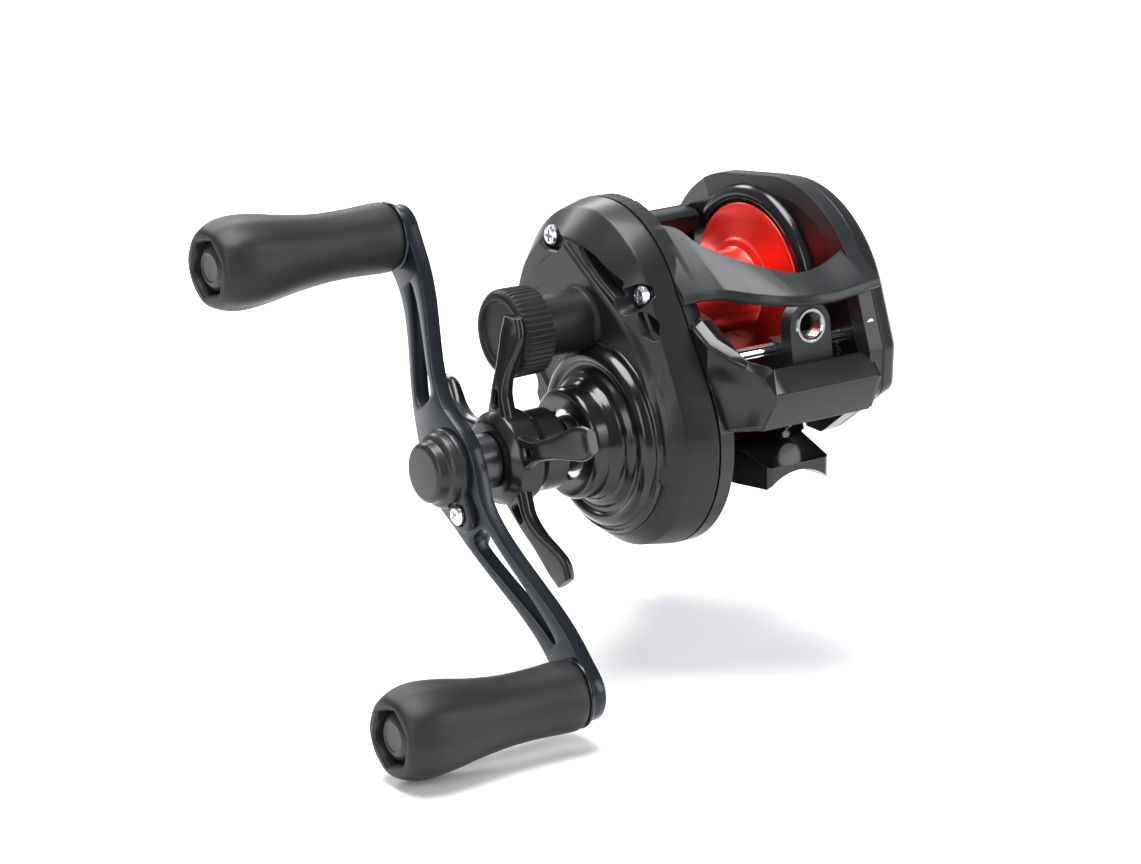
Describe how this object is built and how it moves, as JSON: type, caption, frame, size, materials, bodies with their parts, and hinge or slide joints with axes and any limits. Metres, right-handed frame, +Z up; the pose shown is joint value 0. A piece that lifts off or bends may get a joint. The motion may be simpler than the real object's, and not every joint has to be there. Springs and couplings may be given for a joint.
{
  "type": "low-profile baitcasting fishing reel",
  "caption": "Low-profile baitcasting reel with a double-knob handle, star drag, cast control, level wind, clutch bar and a foot that seats on a fishing rod.",
  "frame": {"origin": "crown of the foot's hollow underside, midway between the spool flanges and under the spool's axis", "axes": "+X along the spool's axis from the handle side to the palm side, +Y from the line guide to the thumb bar along the rod, +Z up from the rod"},
  "size_m": [0.1125, 0.0756, 0.0858],
  "materials": {
    "body_plastic": "satin",
    "cover_plastic": "gloss",
    "hood_plastic": "satin",
    "grip_rubber": "matte",
    "knob_cap_plastic": "satin",
    "arm_aluminium": "satin anodised",
    "star_plastic": "gloss",
    "spool_aluminium": "anodised",
    "steel": "turned",
    "chrome": "polished",
    "brass": "machined",
    "gear_nylon": "moulded",
    "bushing_nylon": "moulded",
    "carbon": "woven",
    "o_ring_rubber": "matte",
    "guide_plastic": "satin",
    "ceramic": "polished ceramic",
    "magnet_steel": "plated"
  },
  "bodies": {
    "frame": {"frame": "body_plastic", "front_hood": "hood_plastic", "gear_side_cover": "cover_plastic", "palm_side_cover": "cover_plastic", "cover_screws": "steel", "palm_cover_screws": "steel", "hood_screws": "steel", "palm_spool_bearing": "steel", "gear_spool_bearing": "steel", "pinion_bearing": "steel", "tension_o_ring": "o_ring_rubber", "yoke_posts": "steel", "yoke_springs": "steel", "clutch_spring": "steel", "drive_shaft_bushing": "bushing_nylon", "one_way_bearing": "steel", "worm_tube": "chrome", "guide_rod": "chrome"},
    "spool": {"spool": "spool_aluminium", "spool_shaft": "steel", "spool_pin": "steel", "brake_rotor": "steel"},
    "brake_dial": {"brake_dial": "knob_cap_plastic"},
    "magnet_plate": {"magnet_plate": "guide_plastic", "brake_magnets": "magnet_steel"},
    "cast_control": {"tension_knob": "cover_plastic", "tension_shim": "bushing_nylon"},
    "yoke": {"clutch_yoke": "guide_plastic"},
    "pinion": {"pinion_gear": "brass"},
    "clutch_cam": {"clutch_cam": "steel", "kick_lever": "steel"},
    "thumb_bar": {"thumb_bar": "body_plastic"},
    "handle": {"drive_shaft": "steel", "level_wind_drive_gear": "gear_nylon", "ratchet": "steel", "drive_gear": "brass", "carbon_drag_washers": "carbon", "metal_drag_washers": "steel", "one_way_sleeve": "steel", "spring_washers": "steel", "handle_spacer": "steel", "handle_arm": "arm_aluminium", "handle_nut": "steel", "nut_cap": "knob_cap_plastic", "nut_cap_screw": "steel", "knob_posts": "steel", "knob_screws": "steel"},
    "star": {"star_drag": "star_plastic", "star_nut": "steel"},
    "upper_knob": {"upper_knob": "grip_rubber", "upper_knob_cap": "knob_cap_plastic", "upper_knob_bushings": "bushing_nylon"},
    "lower_knob": {"lower_knob": "grip_rubber", "lower_knob_cap": "knob_cap_plastic", "lower_knob_bushings": "bushing_nylon"},
    "worm": {"worm_shaft": "steel", "worm_gear": "gear_nylon"},
    "line_guide": {"line_guide": "guide_plastic", "line_ring": "ceramic", "line_pawl": "steel"}
  },
  "joints": [
    {"name": "handle_spin", "type": "hinge", "parent": "frame", "child": "handle", "pos_m": [-0.02, -0.00725, 0.00478], "axis": [1, 0, 0], "continuous": true},
    {"name": "spool_spin", "type": "hinge", "parent": "frame", "child": "spool", "pos_m": [0, 0, 0.0247], "axis": [1, 0, 0], "continuous": true},
    {"name": "thumb_bar_press", "type": "slide", "parent": "frame", "child": "thumb_bar", "axis": [0, 0, -1], "range_m": [0, 0.0045]},
    {"name": "clutch_cam_turn", "type": "hinge", "parent": "frame", "child": "clutch_cam", "pos_m": [-0.016, 0, 0.0247], "axis": [-1, 0, 0], "range_deg": [0, 20.39]},
    {"name": "yoke_slide", "type": "slide", "parent": "frame", "child": "yoke", "axis": [-1, 0, 0], "range_m": [0, 0.0016], "deforming": ["yoke_springs"]},
    {"name": "pinion_spin", "type": "hinge", "parent": "yoke", "child": "pinion", "pos_m": [-0.02, 0, 0.0247], "axis": [1, 0, 0], "continuous": true},
    {"name": "worm_spin", "type": "hinge", "parent": "frame", "child": "worm", "pos_m": [0, -0.01851, 0.01128], "axis": [1, 0, 0], "continuous": true},
    {"name": "line_guide_slide", "type": "slide", "parent": "frame", "child": "line_guide", "axis": [1, 0, 0], "range_m": [-0.01, 0.0046]},
    {"name": "star_turn", "type": "hinge", "parent": "handle", "child": "star", "pos_m": [-0.045, -0.00725, 0.00478], "axis": [1, 0, 0], "range_deg": [-360, 360]},
    {"name": "cast_control_turn", "type": "hinge", "parent": "frame", "child": "cast_control", "pos_m": [-0.04, 0, 0.0247], "axis": [1, 0, 0], "range_deg": [-360, 360]},
    {"name": "upper_knob_spin", "type": "hinge", "parent": "handle", "child": "upper_knob", "pos_m": [-0.07, 0.02167, 0.03925], "axis": [1, 0, 0], "continuous": true},
    {"name": "lower_knob_spin", "type": "hinge", "parent": "handle", "child": "lower_knob", "pos_m": [-0.07, -0.03618, -0.02969], "axis": [1, 0, 0], "continuous": true},
    {"name": "brake_dial_turn", "type": "hinge", "parent": "frame", "child": "brake_dial", "pos_m": [0.021, 0, 0.0247], "axis": [1, 0, 0], "range_deg": [0, 270.05]},
    {"name": "magnet_plate_slide", "type": "slide", "parent": "frame", "child": "magnet_plate", "axis": [-1, 0, 0], "range_m": [0, 0.0014]}
  ],
  "couplings": [
    {"joint": "spool_spin", "follows": "handle_spin", "ratio": -6.2727},
    {"joint": "pinion_spin", "follows": "handle_spin", "ratio": -6.2727},
    {"joint": "worm_spin", "follows": "handle_spin", "ratio": -1.6},
    {"joint": "clutch_cam_turn", "follows": "thumb_bar_press", "rad_per_m": 78.874},
    {"joint": "yoke_slide", "follows": "thumb_bar_press", "ratio": 0.35556},
    {"joint": "brake_dial_turn", "follows": "magnet_plate_slide", "rad_per_m": 3366}
  ]
}
